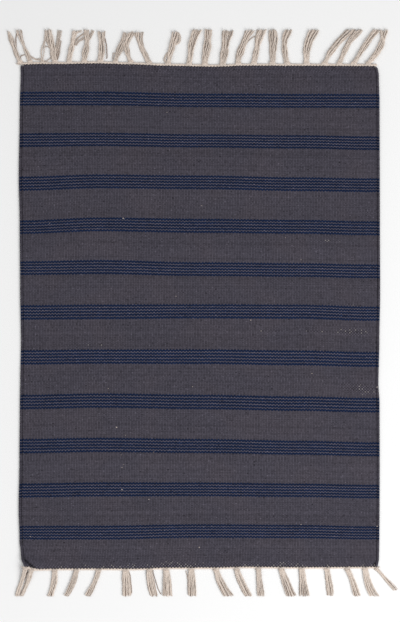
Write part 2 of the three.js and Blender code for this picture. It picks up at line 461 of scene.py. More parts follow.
def crease_distance(x, y):
    """Distance past the corner's fold, more than 0 on the corner's side."""
    run = np.subtract(CREASE_END, CREASE_START)
    run = run / np.hypot(*run)
    return (x - CREASE_START[0]) * run[1] - (y - CREASE_START[1]) * run[0]


def rug_middle():
    """The cloth's middle in the frame, in metres."""
    low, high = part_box("rug_cloth")
    return np.array([low.x + OUTERMOST_LEFT * MM, high.y - OUTERMOST_TOP * MM, 0])


def mesh_of(bm, name):
    """Turns a bmesh into a mesh and frees it."""
    mesh = bpy.data.meshes.new(name)
    bm.to_mesh(mesh)
    bm.free()
    return mesh


def place_points(mesh, points):
    """Gives a mesh its points, worked out in millimetres from the cloth's middle."""
    metres = points * MM + rug_middle()
    mesh.vertices.foreach_set("co", metres.astype(np.float32).ravel())
    mesh.update()


def mesh_points(mesh):
    points = np.zeros(len(mesh.vertices) * 3, np.float32)
    mesh.vertices.foreach_get("co", points)
    return points.reshape(-1, 3).astype(float)


def point_values(mesh, name, values):
    """Keeps one number per point for the material to read."""
    layer = mesh.attributes.new(name, "FLOAT", "POINT")
    layer.data.foreach_set("value", np.asarray(values, np.float32))


def weave_places(mesh, warps, picks):
    """A UV map that counts warps across and picks up, each as a share of the whole."""
    corners = np.zeros(len(mesh.loops), np.int32)
    mesh.loops.foreach_get("vertex_index", corners)
    layer = mesh.uv_layers.new(name="weave")
    places = np.column_stack([warps / WARPS, picks / PICKS])[corners]
    layer.data.foreach_set("uv", places.astype(np.float32).ravel())


def new_thing(name, data):
    """A new object in the scene."""
    thing = bpy.data.objects.new(name, data)
    bpy.context.scene.collection.objects.link(thing)
    return thing


def new_object(name, mesh, finish):
    """An object with its mesh and its finish, which is made the first time that it is needed."""
    word = finish.__name__
    colours = bpy.context.scene.kilim_rug.colours
    material = bpy.data.materials.get(word) or finish(Finish(word), colours)
    mesh.materials.append(material)
    return new_thing(name, mesh)


def new_piece(name, mesh, finish):
    piece = new_object(name, mesh, finish)
    mesh.shade_smooth()
    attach(piece, "root")
    return piece


def node_maths(operation):
    """A method that puts a shade, and the numbers or shades after it, through a Math node."""
    def method(shade, *others):
        return shade.finish.maths(operation, shade, *others)
    return method


class Shade:
    """A socket of a material's nodes, so that shader maths reads as plain expressions."""

    def __init__(self, finish, socket):
        self.finish = finish
        self.socket = socket

    __add__ = __radd__ = node_maths("ADD")
    __sub__ = node_maths("SUBTRACT")
    __mul__ = __rmul__ = node_maths("MULTIPLY")
    __truediv__ = node_maths("DIVIDE")
    __mod__ = node_maths("FLOORED_MODULO")
    __pow__ = node_maths("POWER")
    __lt__ = node_maths("LESS_THAN")
    __gt__ = node_maths("GREATER_THAN")
    __abs__ = node_maths("ABSOLUTE")
    whole = node_maths("FLOOR")
    at_least = node_maths("MAXIMUM")

    def __rsub__(self, other):
        return self.finish.maths("SUBTRACT", other, self)

    def sway(self, strength):
        """A number from 0 to 1 made one that sways about 0."""
        return (self - 0.5) * strength

    def from_middle(self):
        """0 in the middle of a stretch from 0 to 1, and 1 at its ends."""
        return abs(self * 2 - 1)

    def smooth(self, low, high):
        """Rises smoothly from 0 to 1 between two values."""
        inputs = {"Value": self, "From Min": low, "From Max": high}
        return self.finish.add("MapRange", inputs, interpolation_type="SMOOTHSTEP", clamp=True)


class Finish:
    """A procedural material, built node by node."""

    def __init__(self, name):
        self.material = bpy.data.materials.new(name)
        self.material.use_nodes = True
        self.tree = self.material.node_tree
        self.tree.nodes.clear()

    def add(self, kind, inputs=None, output=0, **settings):
        """A node of one kind, with its settings and the values or links of its sockets."""
        node = self.tree.nodes.new("ShaderNode" + kind)
        for name, value in settings.items():
            setattr(node, name, value)
        for name, value in (inputs or {}).items():
            self.join(value, node.inputs[name])
        return Shade(self, node.outputs[output])

    def join(self, value, socket):
        if isinstance(value, Shade):
            self.tree.links.new(value.socket, socket)
        else:
            socket.default_value = value

    def maths(self, operation, *values):
        return self.add("Math", dict(enumerate(values)), operation=operation)

    def blend(self, share, plain, other):
        """One colour or the other by a share."""
        inputs = {0: share, 6: self.opaque(plain), 7: self.opaque(other)}
        return self.add("Mix", inputs, output=2, data_type="RGBA", clamp_factor=True)

    def opaque(self, colour):
        return colour if isinstance(colour, Shade) else (*colour, 1)

    def scaled(self, colour, amount):
        """A colour made darker or lighter by a number."""
        return self.add("VectorMath", {0: colour, 3: amount}, operation="SCALE")

    def places(self, x, y, z=0):
        return self.add("CombineXYZ", {"X": x, "Y": y, "Z": z})

    def noise(self, place, detail, roughness=0.5):
        inputs = {"Vector": place, "Scale": 1, "Detail": detail, "Roughness": roughness}
        return self.add("TexNoise", inputs, noise_dimensions="3D")

    def grain(self, scale, detail, roughness=0.5, up=None):
        """Noise on Object coordinates, at one scale or at another along the rug."""
        place = self.add("TexCoord", output=3)
        inputs = {"Vector": place, "Scale": (scale, up or scale, scale)}
        return self.noise(self.add("Mapping", inputs, vector_type="POINT"), detail, roughness)

    def chance(self, x, y, z=0):
        """A random number for each whole place."""
        return self.add("TexWhiteNoise", {"Vector": self.places(x, y, z)}, noise_dimensions="3D")

    def value_of(self, name):
        """A number kept on the mesh's points."""
        return self.add("Attribute", output=2, attribute_type="GEOMETRY", attribute_name=name)

    def coat(self, colour, roughness, gloss=0.2, sheen=0, height=None, distance=0):
        """Finishes the surface: its colour, how it shines, and bumps of a height and distance."""
        looks = {"Base Color": colour, "Roughness": roughness, "Specular IOR Level": gloss,
                 "Sheen Weight": sheen, "Sheen Roughness": SHEEN_ROUGHNESS}
        if height is not None:
            bumps = {"Height": height, "Distance": distance, "Strength": 1}
            looks["Normal"] = self.add("Bump", bumps)
        surface = self.add("BsdfPrincipled", looks)
        output = self.tree.nodes.new("ShaderNodeOutputMaterial")
        self.join(surface, output.inputs["Surface"])
        return self.material


def weft_faced_cotton(cotton, colours):
    """Weft-faced plain weave: ovals of weft over each warp, in bands of navy and grey picks."""
    weave = {"Vector": cotton.add("UVMap", uv_map="weave")}
    warp = cotton.add("SeparateXYZ", weave, output=0) * WARPS
    up = cotton.add("SeparateXYZ", weave, output=1)
    pick_place = up * PICKS

    # Picks waver on their way, and pass over the odd warps where they pass under the even ones.
    rib = warp.whole()
    across_rib = warp - rib
    odd = rib % 2
    waver = cotton.noise(cotton.places(rib * 2.3, up * 60, 4.5), 1).sway(1.5)
    pair_place = (pick_place + odd * ODD_WARP_SHIFT + waver) * 0.5
    pair = pair_place.whole()
    across_pick = pair_place - pair
    pick = pair * 2 - odd

    # Each float of weft is an oval, two picks tall and one warp wide; it sets the bumps and the shade
    # painted on each float.
    aside = across_rib.from_middle()
    along = across_pick.from_middle()
    oval = (1 - aside ** 2.6 * 0.75 - along ** 2.2 * 0.65).at_least(0) ** 0.5

    # Navy lines, four picks on and two off, within each band of 28 picks.
    in_repeat = (pick - BOTTOM_MARGIN_PICKS) % REPEAT_PICKS
    in_band = in_repeat < (BAND_PICKS - 0.5)
    navy = in_band * ((in_repeat % LINE_REPEAT_PICKS) < (LINE_PICKS - 0.5))

    # Yarn is thicker and thinner along its run, and floats, warps and picks differ.
    slub = cotton.noise(cotton.places(warp * 0.33, pick * 3.7), 1)
    float_tone = cotton.chance(rib, pair, 5)
    rib_tone = cotton.noise(cotton.places(rib * 1.7, up * 110), 1)
    pick_tone = cotton.chance(pick, 3)
    cloud = cotton.grain(13, 3, roughness=0.6)
    fibre = cotton.grain(420, 1, up=2600)
    tone = 1 + slub.sway(0.7) + float_tone.sway(0.22) + rib_tone.sway(0.5)
    tone = tone + pick_tone.sway(0.3) + cloud.sway(0.2) + fibre.sway(0.25)

    # Here and there one float stands out, paler or darker.
    lone_float = cotton.chance(rib, pair, 11)
    tone = tone + (lone_float < PALE_FLOATS) * 0.5 - (lone_float > 1 - DARK_FLOATS) * 0.35

    # Dye differs slowly over the cloth, and the grey between navy lines looks paler.
    hue = cotton.grain(14, 2)
    grey = cotton.blend(hue.smooth(0.4, 0.65) * 0.5, colours.grey, colours.brown_grey)
    grey = cotton.scaled(grey, 1 + in_band * 0.33)
    dyed = cotton.blend(navy, grey, colours.navy)

    # Loose picks bunch by turns on each warp, and bare warp shows at some of the bunches.
    loose = 0
    for patch in LOOSE_PATCHES:
        off_warp = (warp - patch.warp) / patch.half_warps
        off_pick = (pick_place - patch.pick) / patch.half_picks
        loose = loose + (1 - off_warp ** 2 - off_pick ** 2).at_least(0) * patch.looseness
    bunch_place = pick_place / BUNCH_PICKS + odd * 0.5
    bunch = bunch_place.whole()
    from_bunch = (bunch_place - bunch).from_middle()
    # Painted light and shade: each bunch lighter in its middle and darker where bunches part.
    tone = tone * (1 + loose * (1 - from_bunch * 2) * 0.75).at_least(0.1)
    dot = (1 - (from_bunch * 2) ** 2 - (aside * 1.2) ** 2).smooth(0, 0.5)
    peep = dot * (cotton.chance(rib, bunch, 7) < (loose - 0.3) * 0.35)

    # Painted shade: each float darker towards its edges and in the gaps between floats, and darker at the
    # seams, the fold and the corner hollows.
    shade = (0.25 + oval * 0.75) * (1 - cotton.value_of("hollow") * 0.75)
    shaded = cotton.scaled(dyed, shade * tone)
    finished = cotton.blend(peep * 0.35, shaded, colours.bare_warp)
    return cotton.coat(finished, 0.9, gloss=0.06, height=oval + fibre.sway(0.2), distance=0.35 * MM)


def plied_cotton(yarn, colours):
    """Undyed plied cotton, with shade painted in the grooves between its plies and where light hardly
    reaches.
    """
    tone = yarn.value_of("tone")
    fine = yarn.grain(900, 2)
    slow = yarn.grain(60, 2)
    light = 1 + tone.sway(0.28) + fine.sway(0.15) + slow.sway(0.25)
    # Painted shade in the grooves between the plies.
    colour = yarn.blend(yarn.value_of("groove") * 0.15, colours.yarn, colours.yarn_groove)
    # Painted shade where light hardly reaches, between and under the yarns.
    colour = yarn.blend(yarn.value_of("hollow") * 0.8, colour, colours.yarn_hollow)
    return yarn.coat(yarn.scaled(colour, light), 0.85, sheen=0.1, height=fine, distance=0.15 * MM)


def pale_fleck(cotton, colours):
    """Undyed cotton caught in the weave, greyed by the dyed fibres over it."""
    paleness = cotton.value_of("tone")
    fuzz = cotton.grain(1500, 2)
    colour = cotton.blend(paleness * 0.8, colours.brown_grey, colours.yarn)
    return cotton.coat(cotton.scaled(colour, 0.8 + fuzz * 0.4), 0.9, height=fuzz, distance=0.2 * MM)


def studio_floor(floor, colours):
    """Pale matt floor, hardly mottled."""
    mottle = floor.grain(3, 3)
    return floor.coat(floor.scaled(colours.floor, 0.99 + mottle * 0.02), 0.8)


def mesh_rows():
    """The picks at which the cloth's mesh has a row: close at both ends, even between."""
    first = BOTTOM_ROWS[-1]
    last = PICKS - TOP_ROWS[-1]
    count = round((last - first) / ROW_PICKS)
    even = np.linspace(first, last, count + 1)[1:-1]
    top = [PICKS - pick for pick in reversed(TOP_ROWS)]
    return np.array([*BOTTOM_ROWS, *even, *top], float)


def upright(edges):
    """The edges that run up, of shapes whose other edges lie level."""
    return [edge for edge in edges if abs(edge.verts[0].co.z - edge.verts[1].co.z) > 0.5]


def two_faced_grid(columns, rows):
    """A closed sheet of grid squares: faces at z 1 and -1, and a rim with a ring at z 0."""
    bm = bmesh.new()
    bmesh.ops.create_grid(bm, x_segments=columns, y_segments=rows, size=1)
    copy = bmesh.ops.duplicate(bm, geom=bm.verts[:] + bm.edges[:] + bm.faces[:])["geom"]
    under = [item for item in copy if isinstance(item, bmesh.types.BMFace)]
    under_points = [item for item in copy if isinstance(item, bmesh.types.BMVert)]
    over_points = list(set(bm.verts) - set(under_points))
    bmesh.ops.reverse_faces(bm, faces=under)
    bmesh.ops.translate(bm, verts=over_points, vec=(0, 0, 1))
    bmesh.ops.translate(bm, verts=under_points, vec=(0, 0, -1))
    open_edges = [edge for edge in bm.edges if edge.is_boundary]
    rim = bmesh.ops.bridge_loops(bm, edges=open_edges)["edges"]
    bmesh.ops.subdivide_edges(bm, edges=upright(rim), cuts=1, use_grid_fill=True)
    bmesh.ops.recalc_face_normals(bm, faces=bm.faces[:])
    return mesh_of(bm, "rug_cloth_woven")


def ringed_tube(sides, rings):
    """A closed tube round the Z axis, from 0 to 1, with even rings along it."""
    bm = bmesh.new()
    bmesh.ops.create_cone(bm, cap_ends=True, segments=sides, radius1=1, radius2=1, depth=1)
    bmesh.ops.translate(bm, verts=bm.verts[:], vec=(0, 0, 0.5))
    bmesh.ops.subdivide_edges(bm, edges=upright(bm.edges), cuts=rings - 2, use_grid_fill=True)
    return mesh_of(bm, "tube")


def woven_field(size):
    """The cloth between its selvedges: ribbed by the warps, toothed at the ends."""
    rows = mesh_rows()
    columns = (WARPS - 2 * SELVEDGE_WARPS) * size.columns_per_rib
    mesh = two_faced_grid(columns, len(rows) - 1)
    grid = mesh_points(mesh)
    column = np.round((grid[:, 0] + 1) / 2 * columns)
    row = np.round((grid[:, 1] + 1) / 2 * (len(rows) - 1)).astype(int)
    over = grid[:, 2] > 0.5
    under = grid[:, 2] < -0.5
    rib = SELVEDGE_WARPS + column / size.columns_per_rib
    pick = rows[row]

    inset = size.selvedge_width / MM
    straight = np.interp(rib, named(CROWDING, "warps"), named(CROWDING, "across"))
    share = (straight - straight.min()) / np.ptp(straight)
    y = pick_line(straight, pick)
    x = (side_of_cloth(y, -1) + inset) * (1 - share) + (side_of_cloth(y, 1) - inset) * share

    # Both faces draw in between warps and at the edges, and every second warp stands out as a tooth.
    from_side = np.minimum(share, 1 - share) * (CLOTH_WIDTH - 2 * inset)
    end = np.where(pick > PICKS / 2, 1, -1)
    at_end = bell(from_end_of_cloth(pick), END_ROUNDING)
    at_side = bell(from_side, SIDE_ROUNDING)
    depth = size.rib_depth / MM * (1 - np.sin(np.pi * (rib - np.floor(rib))))
    tooth = np.where(end > 0, size.top_teeth, size.bottom_teeth) / MM
    teeth = np.where(np.floor(rib) % 2 == 0, tooth, 0)
    thickness = size.thickness / MM
    top = thickness - depth - 0.35 * at_side + at_end * np.where(teeth > 0, 0.3, -0.4)
    underside = depth + 0.5 * at_end + 0.3 * at_side
    z = np.where(over, top, np.where(under, underside, thickness / 2))

    # The bottom left corner folds in a valley with a ridge before it.
    past_fold = crease_distance(x, y)
    off_corner = np.hypot((x - CREASE_MIDDLE[0]) / CREASE_REACH[0], (y - CREASE_MIDDLE[1]) / CREASE_REACH[1])
    near_corner = bell(off_corner, 1)
    ridge = RIDGE_HEIGHT * bell(past_fold + RIDGE_BEFORE, RIDGE_WIDTH)
    valley = VALLEY_DEPTH * bell(past_fold, VALLEY_WIDTH)
    # The corner hollows dent the cloth, and the same profile sets their painted shade.
    hollow = sum(bell(np.hypot(x - spot.across, y - spot.up), spot.radius) for spot in CORNER_HOLLOWS)
    z = z + (ridge - valley) * near_corner + cloth_lift(x, y, size) - HOLLOW_DEPTH * hollow * over
    y = y + end * at_end * teeth
    place_points(mesh, np.column_stack([x, y, np.maximum(z, 0)]))
    weave_places(mesh, rib, pick)

    # Painted shade where less light reaches: the seams by the selvedges, the fold and the corner hollows.
    crease = bell(past_fold, CREASE_SHADE_WIDTH) * np.minimum(1, near_corner * 1.8)
    seam = at_side * np.where(share > 0.5, RIGHT_SEAM_SHADE, LEFT_SEAM_SHADE)
    point_values(mesh, "hollow", np.clip(seam + crease + hollow, 0, 1))
    return mesh


def rolled_selvedge(side, size):
    """Bundled outer warps, wrapped by every pair of picks."""
    mesh = ringed_tube(SELVEDGE_SIDES, round(PICKS / 2 * size.rings_per_turn))
    tube = mesh_points(mesh)
    pick = tube[:, 2] * PICKS
    turn = 1 - 0.1 * (1 + np.cos(np.pi * pick))
    turn = turn * (1 - 0.45 * bell(from_end_of_cloth(pick), SIDE_ROUNDING))
    half_width = size.selvedge_width / MM / 2 * SELVEDGE_OVERLAP
    half_height = size.selvedge_height / MM / 2
    across = side * (CLOTH_WIDTH / 2 - half_width)
    y = pick_line(np.full(len(pick), float(across)), pick) - size.selvedge_drop / MM
    x = side_of_cloth(y, side) - side * half_width + tube[:, 0] * half_width * turn
    z = half_height * (1.05 + tube[:, 1] * turn) + cloth_lift(x, y, size)
    place_points(mesh, np.column_stack([x, y, z]))
    rib = 0 if side < 0 else WARPS - 1
    weave_places(mesh, rib + (tube[:, 0] * 0.44 + 0.5), pick)
    # Painted shade on the selvedge, deepest on the side of the tube towards the cloth.
    point_values(mesh, "hollow", np.clip(0.25 - side * tube[:, 0] * 0.3, 0, 1))
    return mesh


class YarnWork:
    """Plied yarns laid along paths and gathered in one mesh."""

    def __init__(self, name):
        self.name = name
        self.bm = bmesh.new()
        self.points = []
        self.values = {"tone": [], "groove": [], "hollow": []}

    def lay(self, paths, radii, ply_turn, tones, painted_shades=0):
        """Lays yarns with as many points each: paths in mm, and mm in which the plies turn once. The shade
        painted on each point is kept for the material.
        """
        paths = np.asarray(paths, float)
        yarns, steps, _ = paths.shape
        radii = np.broadcast_to(radii, (yarns, steps))
        painted_shades = np.broadcast_to(painted_shades, (yarns, steps))
        template = ringed_tube(2 * PLIES, steps)
        tube = mesh_points(template)
        step = np.round(tube[:, 2] * (steps - 1)).astype(int)
        angle = np.arctan2(tube[:, 1], tube[:, 0])
        groove = np.round(angle / (np.pi / PLIES)) % 2
        runs = np.linalg.norm(np.diff(paths, axis=1), axis=2)
        run = np.concatenate([np.zeros((yarns, 1)), runs.cumsum(axis=1)], axis=1)
        sideways, upwards = self.directions(paths)
        for i in range(yarns):
            turn = angle + run[i][step] / ply_turn * FULL_TURN
            reach = radii[i][step] * np.where(groove > 0.5, GROOVE_REACH, 1)
            offset = sideways[i][step] * np.cos(turn)[:, None] + upwards[i][step] * np.sin(turn)[:, None]
            self.points.append(paths[i][step] + offset * reach[:, None])
            self.values["tone"].append(np.full(len(step), tones[i]))
            self.values["groove"].append(groove)
            self.values["hollow"].append(painted_shades[i][step])
            self.bm.from_mesh(template)
        bpy.data.meshes.remove(template)

    def directions(self, paths):
        """Two directions square to each path, carried along it without twisting."""
        ahead = np.gradient(paths, axis=1)
        ahead /= np.linalg.norm(ahead, axis=2, keepdims=True)
        sideways = np.zeros_like(paths)
        sideways[:, 0] = np.cross(ahead[:, 0], (0.1, 0.2, 1))
        for i in range(paths.shape[1]):
            before = sideways[:, max(i - 1, 0)]
            square = before - (before * ahead[:, i]).sum(axis=1, keepdims=True) * ahead[:, i]
            sideways[:, i] = square / np.linalg.norm(square, axis=1, keepdims=True)
        return sideways, np.cross(ahead, sideways)

    def mesh(self):
        mesh = mesh_of(self.bm, self.name)
        place_points(mesh, np.concatenate(self.points))
        for name, values in self.values.items():
            point_values(mesh, name, np.concatenate(values))
        return mesh


def twined_edge(end, size, fringe):
    """Two yarns twisted round each other along the cloth's end."""
    work = YarnWork("twined_edge_" + END_NAME[end])
    left, right = (side_of_cloth(end * CLOTH_LENGTH / 2, side) - side * EDGE_INSET for side in (-1, 1))
    across = np.linspace(left, right, fringe.edge_steps)
    reach = fringe.edge_twist / MM
    turn = across / (fringe.edge_turn / MM) * FULL_TURN
    radius = fringe.edge_yarn / MM / 2
    paths = []
    for phase in (0, np.pi):
        y = end_of_cloth(across, end) + end * (EDGE_GAP + radius + reach * (1 + np.cos(turn + phase)))
        z = radius + 0.3 * reach * (1 + np.sin(turn + phase)) + cloth_lift(across, y, size)
        paths.append(np.column_stack([across, y, z]))
    # Painted shade where each tassel's yarns leave the twined edge.
    hollow = sum(0.5 * bell(across - tassel.across, 3) for tassel in TASSELS[end])
    work.lay(paths, radius, EDGE_PLY_TURN, EDGE_TONES, np.clip(hollow, 0, 1))
    return work.mesh()


def along_curve(start, middle, end, share):
    """A curve from start to end that bends towards the middle."""
    first = start + (middle - start) * share
    second = middle + (end - middle) * share
    return first + (second - first) * share


def bend_of(tassel):
    """The place across that a tassel's line bends towards."""
    return tassel.across + tassel.lean / 2 + 2 * tassel.bow


class FringeWork(YarnWork):
    """Tassels and stray yarns of one end."""

    def __init__(self, name, end, seed, cloth, fringe):
        super().__init__(name)
        at_top = end > 0
        self.end = end
        self.cloth = cloth
        self.fringe = fringe
        self.rng = np.random.default_rng(seed)
        self.radius = (fringe.top_yarn if at_top else fringe.bottom_yarn) / MM / 2
        self.tangle = fringe.top_tangle if at_top else fringe.bottom_tangle
        self.shade = fringe.top_shade if at_top else 1

    def half_knot(self, tassel):
        """Half the width of a tassel's knot, from yarn's middle to yarn's middle."""
        fullness = min(1, 0.45 + tassel.yarns * self.radius / 20)
        return self.fringe.knot_width / MM * fullness / 2 - self.radius

    def tips(self, count):
        """Where a tassel's yarns end, from -1 to 1, and which lower yarns lie bare between others."""
        tips = np.linspace(-1, 1, count) + self.rng.normal(0, TIP_SCATTER / count, count)
        crossed = self.rng.random(count - 1) < self.fringe.crossing * self.tangle
        for i in np.flatnonzero(crossed):
            tips[[i, i + 1]] = tips[[i + 1, i]]
        bare = (np.arange(count) % 2 == 0) & (self.rng.random(count) < self.fringe.parting)
        bare[[0, -1]] = False
        for i in np.flatnonzero(bare):
            tips[:i] -= PARTING_WIDTH / count
            tips[i + 1:] += PARTING_WIDTH / count
        return tips / np.abs(tips).max(), bare

    def lay_tassel(self, tassel):
        """Warp ends that run along the twined edge, through their knot and out over the floor."""
        rng = self.rng
        radius = self.radius
        count = tassel.yarns
        knot_out = self.fringe.knot_out / MM
        half_knot = self.half_knot(tassel)
        half_root = min(10, 3 + count * radius * 0.55)
        start = end_of_cloth(tassel.across, self.end)
        reach = CLOTH_LENGTH / 2 + tassel.length - abs(start)

        # Each yarn's rings: those up to the knot, and how far the others have come from it.
        share = np.linspace(0, 1, self.fringe.yarn_steps)
        in_knot = share < KNOT_SHARE
        gathered = np.clip(share / KNOT_SHARE, 0, 1)
        free = np.clip((share - KNOT_SHARE) / (1 - KNOT_SHARE), 0, 1)
        run = free * reach
        ramp = np.clip(free * 4, 0, 1)
        half_tips = tassel.spread / 2
        half = along_curve(half_knot, half_knot + (half_tips - half_knot) * EARLY_SPREAD,
                           half_tips - radius, free)
        centre = along_curve(tassel.across, bend_of(tassel), tassel.across + tassel.lean, free)

        places = np.linspace(-1, 1, count)
        tips, bare = self.tips(count)
        waves = rng.uniform(9, 13, 2)
        starts = rng.uniform(0, FULL_TURN, 2)
        lengths = rng.uniform(-1.4, 1.1, count)
        paths = []
        for i, place in enumerate(places):
            now = place + (tips[i] - place) * free
            sway = 0.8 * np.sin(run / waves[0] + starts[0] + now)
            kink = 0.35 * np.sin(run * 2 / waves[1] + starts[1] + 2 * now)
            own = 0.25 * np.sin(run / rng.uniform(2.2, 4.5) + rng.uniform(0, FULL_TURN))
            fan = centre + now * half + (sway + kink + own) * self.tangle * ramp
            leg = tassel.across + place * (half_root + (half_knot - half_root) * gathered ** 0.8)
            x = np.where(in_knot, leg, fan)
            leg_out = ROOT_OUT + (knot_out - ROOT_OUT) * gathered ** 1.6
            fan_out = knot_out + (reach + lengths[i] - knot_out) * free
            y = start + self.end * np.where(in_knot, leg_out, fan_out)
            upper = i % 2
            lift = radius * (1.12 + 1.45 * upper) + (1.2 - 0.4 * upper) * np.clip(1 - free * 3, 0, 1)
            bounce = 0.25 * self.tangle * (1 + np.sin(run / 3.3 + 5 * place)) * ramp * upper
            z = np.where(in_knot, ROOT_LIFT + (lift - ROOT_LIFT) * gathered, lift + bounce)
            z = z + cloth_lift(x, y, self.cloth) * np.clip(1.4 - free * 1.6, 0, 1)
            paths.append(np.column_stack([x, y, z]))

        # Yarns differ in thickness and end slimmer. Shade is painted where light hardly reaches: on the
        # knot's sides, the lower yarns and the bare yarns, less of it at the top end.
        radii = radius * np.where(share > 0.98, 0.8, 1) * rng.uniform(0.9, 1.12, (count, 1))
        at_knot = bell(share - KNOT_SHARE, 0.035)
        outer = np.abs(places)[:, None] ** 3
        lower = (1 - np.arange(count) % 2)[:, None] * rng.uniform(0.3, 1.6, (count, 1))
        painted_shades = at_knot * (0.25 + 0.6 * outer) + lower * self.fringe.lower_hollow
        painted_shades = (painted_shades + bare[:, None] * np.clip(free * 2.5 - 0.2, 0, 0.8)) * self.shade
        tones = rng.uniform(0, 1, count)
        self.lay(paths, radii, self.fringe.ply_turn / MM, tones, np.clip(painted_shades, 0, 1))

    def tie_knot(self, tassel):
        """The turns of an overhand knot round a tassel's root."""
        height = 1.5 if tassel.yarns > 5 else 0.9
        y = end_of_cloth(tassel.across, self.end) + self.end * self.fringe.knot_out / MM
        slope = (bend_of(tassel) - tassel.across) / (tassel.length / 2)
        along = np.array([slope, float(self.end), 0])
        along /= np.linalg.norm(along)
        square = np.array([along[1], -along[0], 0])
        steps = self.fringe.knot_steps
        angle = self.rng.uniform(0, FULL_TURN) + np.linspace(0, KNOT_TURNS * FULL_TURN, steps)
        aside = np.cos(angle) * (self.half_knot(tassel) + self.radius * 1.2)
        ahead = np.linspace(-0.5, 0.5, steps) * KNOT_LENGTH + np.sin(angle + 0.8) * 0.8
        path = np.array([tassel.across, y, 0]) + square * aside[:, None] + along * ahead[:, None]
        lift = cloth_lift(path[:, 0], path[:, 1], self.cloth)
        path[:, 2] = self.radius + height * (1 + np.sin(angle)) + lift
        # Painted shade where the knot's turns pass low, under the tassel.
        hollow = np.clip(0.9 - 1.3 * (1 + np.sin(angle)), 0, 1) * 0.8
        self.lay([path], self.radius, KNOT_PLY_TURN, [self.rng.uniform(0.5, 1)], hollow)

    def lay_stray(self, stray):
        """A few yarns, side by side, that leave their tassel through three places."""
        radius = self.radius * 0.8
        share = np.linspace(0, 1, self.fringe.stray_steps)
        middle_x = 2 * stray.x2 - (stray.x1 + stray.x3) / 2
        middle_out = 2 * stray.out2 - (stray.out1 + stray.out3) / 2
        x = along_curve(stray.x1, middle_x, stray.x3, share)
        out = along_curve(stray.out1, middle_out, stray.out3, share)
        y = self.end * (CLOTH_LENGTH / 2 + out)
        ahead = np.column_stack([np.gradient(x), np.gradient(y)])
        ahead /= np.linalg.norm(ahead, axis=1, keepdims=True)
        paths = []
        for i in range(stray.yarns):
            aside = (i - (stray.yarns - 1) / 2) * radius * (1.4 + share)
            aside = aside + 0.35 * np.sin(share * 9 + self.rng.uniform(0, FULL_TURN))
            z = radius * (1 + 1.2 * (i % 2)) + 1.2 * np.sin(np.pi * share) ** 2 * (1 - share)
            paths.append(np.column_stack([x + ahead[:, 1] * aside, y - ahead[:, 0] * aside, z]))
        tones = self.rng.uniform(0, 1, stray.yarns)
        # Painted shade on the stray yarns, as much as the table gives.
        self.lay(paths, radius, self.fringe.ply_turn / MM, tones, stray.dark)


def nep_mesh(size):
    """Small tufts of undyed cotton lying in the weave."""
    ball = bmesh.new()
    bmesh.ops.create_icosphere(ball, subdivisions=2, radius=1)
    tuft = mesh_of(ball, "nep")
    shape = mesh_points(tuft)
    rng = np.random.default_rng(NEP_SEED)
    bm = bmesh.new()
    points = []
    tones = []
    for nep in NEPS:
        lumps = 1 + 0.25 * np.sin(shape @ rng.uniform(-4, 4, 3) + rng.uniform(0, 6))
        sizes = np.array([nep.length / 2, nep.length / 3, NEP_HALF_HEIGHT])
        z = size.thickness / MM + cloth_lift(nep.across, nep.up, size)
        points.append(shape * lumps[:, None] * sizes + (nep.across, nep.up, z))
        tones.append(np.full(len(shape), nep.paleness))
        bm.from_mesh(tuft)
    bpy.data.meshes.remove(tuft)
    mesh = mesh_of(bm, "cotton_neps")
    place_points(mesh, np.concatenate(points))
    point_values(mesh, "tone", np.concatenate(tones))
    return mesh


def length(name, text, amount):
    return FloatProperty(name=name, description=text, default=amount * MM, unit="LENGTH")


def number(name, text, amount):
    return IntProperty(name=name, description=text, default=amount)


def factor(name, text, amount):
    return FloatProperty(name=name, description=text, default=amount, subtype="FACTOR")


def tint(name, red, green, blue):
    text = "Colour of " + name.lower()
    return FloatVectorProperty(name=name, description=text, subtype="COLOR", size=3,
                               default=paint(red, green, blue))


class ClothSizes(bpy.types.PropertyGroup):
    thickness: length("Thickness", "Cloth from face to face", 3)
    rib_depth: length("Rib depth", "Depth between two warps", 0.35)
    columns_per_rib: number("Columns per rib", "Mesh columns over a warp", 3)
    top_teeth: length("Top teeth", "How far every second warp stands out", 0.95)
    bottom_teeth: length("Bottom teeth", "The same at the bottom end", 1.6)
    selvedge_width: length("Selvedge width", "Width of the rolled edge", 5.2)
    selvedge_height: length("Selvedge height", "Height of the rolled edge", 3.3)
    selvedge_drop: length("Selvedge drop", "How far picks slip at the edge", 0.9)
    rings_per_turn: number("Rings per turn", "Rings for a pair of picks", 3)
    curl: length("Corner curl", "Lift of the curled corner", 5)
    curl_reach: length("Curl reach", "How far the curl runs in", 46)
    ripple: length("Ripple", "Height of the cloth's slow ripples", 0.5)


